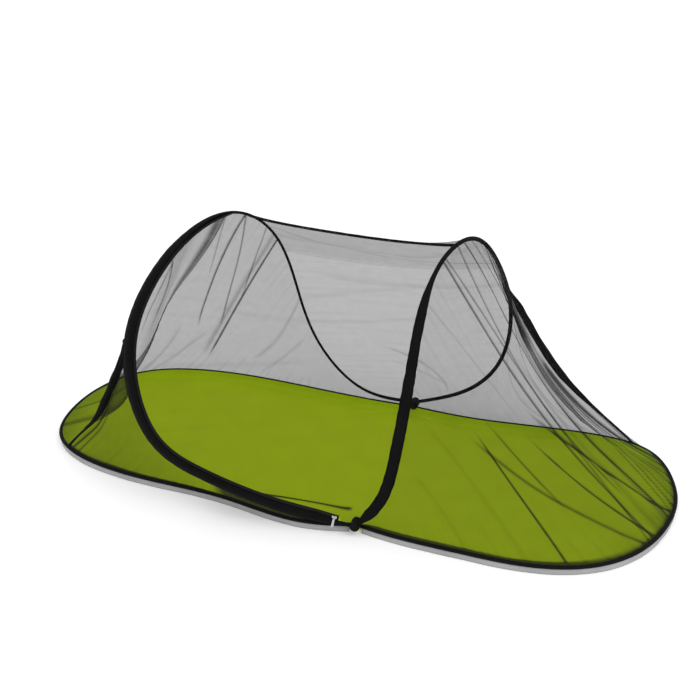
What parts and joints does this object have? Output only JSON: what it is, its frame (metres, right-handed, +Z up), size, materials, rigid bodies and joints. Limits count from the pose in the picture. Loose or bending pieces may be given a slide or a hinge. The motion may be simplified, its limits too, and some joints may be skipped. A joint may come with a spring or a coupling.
{
  "type": "mosquito net tent",
  "caption": "Free-standing folding insect net tent: two crossed spring-rod rings carry a sheer net over a groundsheet big enough for one sleeper.",
  "frame": {"origin": "on the ground, below the middle of the tent's overall box", "axes": "+X from the head end to the foot end, +Y from the door side to the back, +Z up"},
  "size_m": [2.2139, 1.0677, 0.9336],
  "materials": {
    "black_fabric": "matte woven black polyester",
    "black_net": "fine black insect mesh, see-through",
    "green_floor": "matte coated olive-green groundsheet",
    "silver_hem": "silver-grey coated cloth",
    "spring_steel": "plain spring steel rod",
    "zip_metal": "plain die-cast zip slider",
    "zip_nylon": "black coil zip on woven tape",
    "ferrule_steel": "crimped steel tube"
  },
  "bodies": {
    "foot_floor": {"foot_floor_binding": "black_fabric", "foot_floor_rod_front": "spring_steel", "foot_floor_rod_back": "spring_steel", "foot_floor_ferrule": "ferrule_steel", "foot_floor_hem": "silver_hem", "foot_groundsheet": "green_floor", "front_pinch_pocket": "black_fabric", "back_pinch_pocket": "black_fabric"},
    "foot_arch": {"foot_arch_front_band": "black_fabric", "foot_arch_back_sleeve": "black_fabric", "foot_arch_rod_front": "spring_steel", "foot_arch_rod_back": "spring_steel", "foot_arch_ferrule": "ferrule_steel", "foot_end_net_front": "black_net", "foot_end_net_back": "black_net", "foot_slope_seam": "black_fabric", "door_net": "black_net", "back_net": "black_net", "ridge_tape": "black_fabric"},
    "head_arch": {"head_arch_front_band": "black_fabric", "head_arch_back_sleeve": "black_fabric", "head_arch_rod": "spring_steel", "head_end_net_front": "black_net", "head_end_net_back": "black_net", "head_slope_seam": "black_fabric", "door_zip_high": "zip_nylon"},
    "door_zip": {"door_zip_low": "zip_nylon"},
    "slider": {"zip_slider": "zip_metal"},
    "pull": {"zip_pull": "zip_metal"},
    "head_floor": {"head_floor_binding": "black_fabric", "head_floor_rod": "spring_steel", "head_floor_hem": "silver_hem", "head_groundsheet": "green_floor"}
  },
  "joints": [
    {"name": "foot_arch_fold", "type": "hinge", "parent": "foot_floor", "child": "foot_arch", "pos_m": [0.1115, 0, 0.036], "axis": [0, 1, 0], "range_deg": [0, 73.15], "stiffness_Nm_per_rad": 6, "deforming": ["foot_arch_front_band", "foot_arch_back_sleeve", "foot_arch_rod_front", "foot_arch_rod_back", "foot_end_net_front", "foot_end_net_back", "foot_slope_seam", "door_net", "back_net", "ridge_tape"]},
    {"name": "head_arch_fold", "type": "hinge", "parent": "foot_arch", "child": "head_arch", "pos_m": [0.1115, 0, 0.036], "axis": [0, 1, 0], "range_deg": [0, 38], "stiffness_Nm_per_rad": 6, "deforming": ["head_arch_front_band", "head_arch_back_sleeve", "head_arch_rod", "head_end_net_front", "head_end_net_back", "head_slope_seam", "door_zip_high"]},
    {"name": "head_floor_fold", "type": "hinge", "parent": "head_arch", "child": "head_floor", "pos_m": [0.1115, 0, 0.036], "axis": [0, 1, 0], "range_deg": [0, 59.85], "stiffness_Nm_per_rad": 6},
    {"name": "door_zip_fold", "type": "hinge", "parent": "head_arch", "child": "door_zip", "pos_m": [0.1115, 0, 0.036], "axis": [0, 1, 0], "range_deg": [0, 37.87], "stiffness_Nm_per_rad": 3},
    {"name": "zip_slide", "type": "hinge", "parent": "door_zip", "child": "slider", "pos_m": [0.37433, 0.61702, 2.22894], "axis": [-0.1742, 0.8916, -0.4179], "range_deg": [0, 9.75], "deforming": ["door_zip_low"]},
    {"name": "pull_swing", "type": "hinge", "parent": "slider", "child": "pull", "pos_m": [0.04612, -0.46595, 0.06434], "axis": [-0.9755, -0.0983, 0.1971], "range_deg": [0, 150]}
  ],
  "couplings": [
    {"joint": "head_arch_fold", "follows": "foot_arch_fold", "ratio": 0.51948},
    {"joint": "head_floor_fold", "follows": "foot_arch_fold", "ratio": 0.81818},
    {"joint": "door_zip_fold", "follows": "foot_arch_fold", "ratio": 0.5177}
  ]
}
